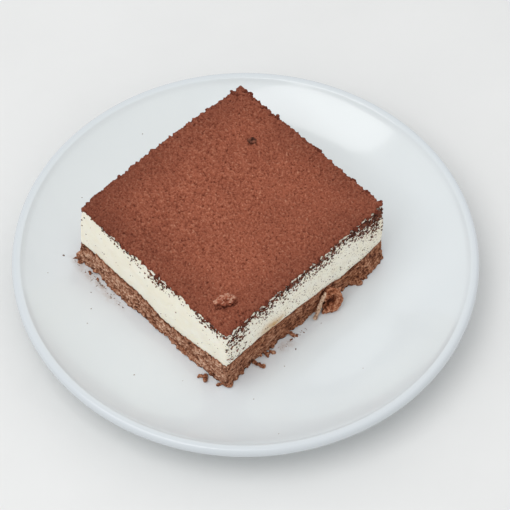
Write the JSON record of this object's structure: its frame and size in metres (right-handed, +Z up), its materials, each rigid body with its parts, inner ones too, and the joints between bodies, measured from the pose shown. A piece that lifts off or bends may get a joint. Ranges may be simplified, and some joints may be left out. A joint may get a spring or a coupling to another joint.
{
  "type": "tiramisu portion on a plate",
  "caption": "Square-cut tiramisu portion of sponge, mascarpone cream and cocoa, served on a round white coupe dessert plate.",
  "frame": {"origin": "middle of the plate's foot, on the surface that the plate stands on", "axes": "+Z up; the portion's front corner points roughly towards -Y, between its two cut sides that show their layers"},
  "size_m": [0.19, 0.19, 0.0446],
  "materials": {
    "porcelain": "cool white gloss glaze",
    "sponge": "coffee-soaked open crumb, matt and uneven",
    "cream": "pale ivory mascarpone cream, smooth where cut, soft sheen",
    "cocoa": "matt red-brown cocoa powder, fine grained"
  },
  "bodies": {
    "root": {"plate": "porcelain", "sponge_base": "sponge", "mascarpone_cream": "cream", "cocoa_layer": "cocoa", "torn_sponge_curl": "sponge"}
  },
  "joints": []
}
